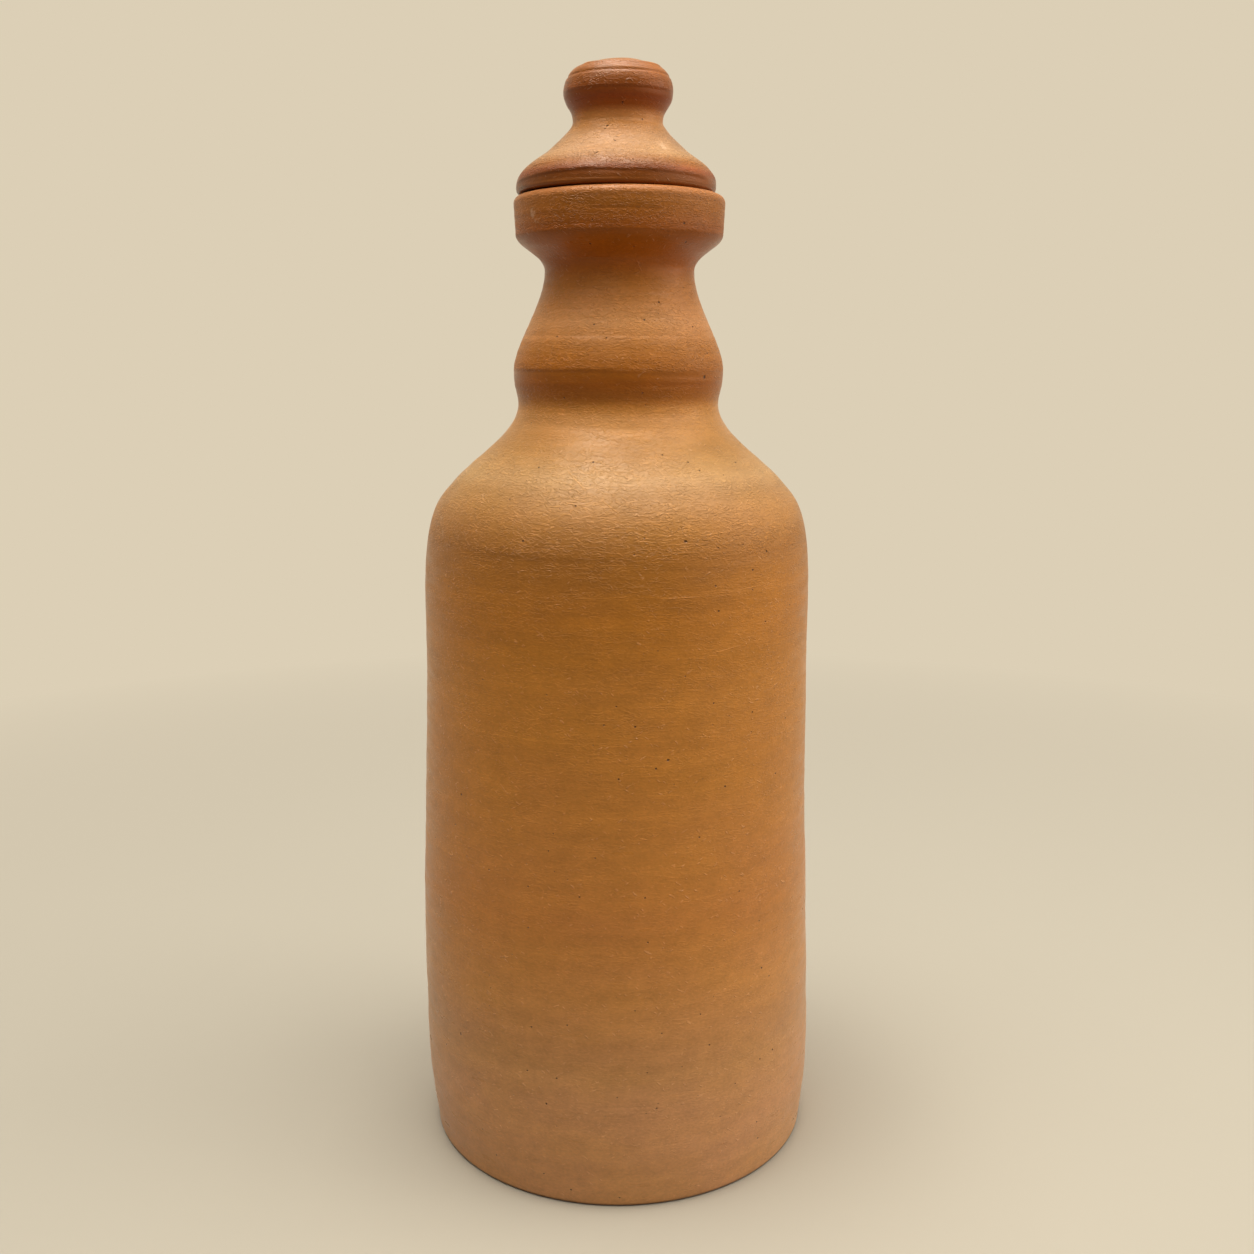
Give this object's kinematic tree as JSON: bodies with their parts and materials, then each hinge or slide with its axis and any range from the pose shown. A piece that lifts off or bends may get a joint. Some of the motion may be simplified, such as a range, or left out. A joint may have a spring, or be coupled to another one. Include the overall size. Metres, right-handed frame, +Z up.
{
  "type": "clay water bottle",
  "caption": "Thrown terracotta water bottle with a rounded shoulder, bulbed neck, flared rim cup and a domed lift-off lid with a mushroom knob.",
  "frame": {"origin": "centre of the foot's flat underside, on the wheel's axis", "axes": "+Z up along the wheel's axis, from the foot to the knob; +X and +Y are any two square directions, as the piece is turned"},
  "size_m": [0.106, 0.106, 0.28],
  "materials": {
    "bottle_clay": "unglazed fired terracotta, matt, with fine throwing rings",
    "lid_clay": "unglazed fired terracotta, matt, slightly redder and smoother"
  },
  "bodies": {
    "bottle": {"bottle": "bottle_clay"},
    "lid": {"lid": "lid_clay"}
  },
  "joints": [
    {"name": "lid_lift", "type": "slide", "parent": "bottle", "child": "lid", "axis": [0, 0, 1], "range_m": [0, 0.06]}
  ]
}
